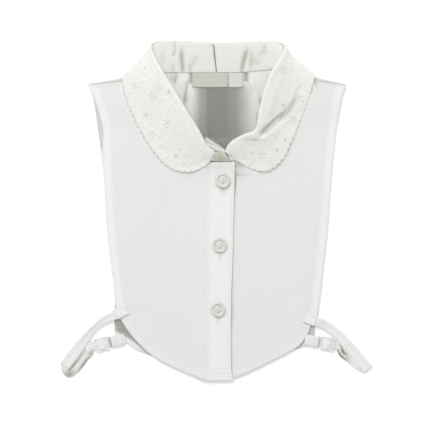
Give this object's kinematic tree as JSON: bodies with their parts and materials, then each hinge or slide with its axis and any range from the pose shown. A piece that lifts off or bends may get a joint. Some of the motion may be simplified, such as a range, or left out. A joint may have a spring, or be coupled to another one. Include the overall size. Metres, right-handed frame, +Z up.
{
  "type": "child's collar dickey",
  "caption": "Sleeveless half-shirt with a flat scalloped collar, buttoned placket and elastic side straps, laid flat on its back.",
  "frame": {"origin": "middle of the laid garment's box, on the surface it lies on", "axes": "+Z up from the surface, +Y from the hem towards the collar, +X towards the wearer's left side"},
  "size_m": [0.2369, 0.259, 0.0161],
  "materials": {
    "poplin": "plain-woven cotton, matt",
    "collar_cloth": "cotton with small embroidered eyelet flowers and a scalloped edge",
    "elastic": "ribbed woven elastic",
    "label_tape": "woven satin tape, blank",
    "pearl": "pearly, slightly translucent",
    "clear_plastic": "clear"
  },
  "bodies": {
    "root": {"back_panel": "poplin", "front_right": "poplin", "front_left": "poplin", "placket": "poplin", "neckband": "poplin", "collar_right": "collar_cloth", "collar_left": "collar_cloth", "strap_right": "elastic", "strap_left": "elastic", "patch_right": "elastic", "patch_left": "elastic", "back_tab_right": "poplin", "back_tab_left": "poplin", "slider_right": "clear_plastic", "slider_left": "clear_plastic", "button_top": "pearl", "button_middle": "pearl", "button_bottom": "pearl", "neck_label": "label_tape", "size_tag": "label_tape"}
  },
  "joints": []
}
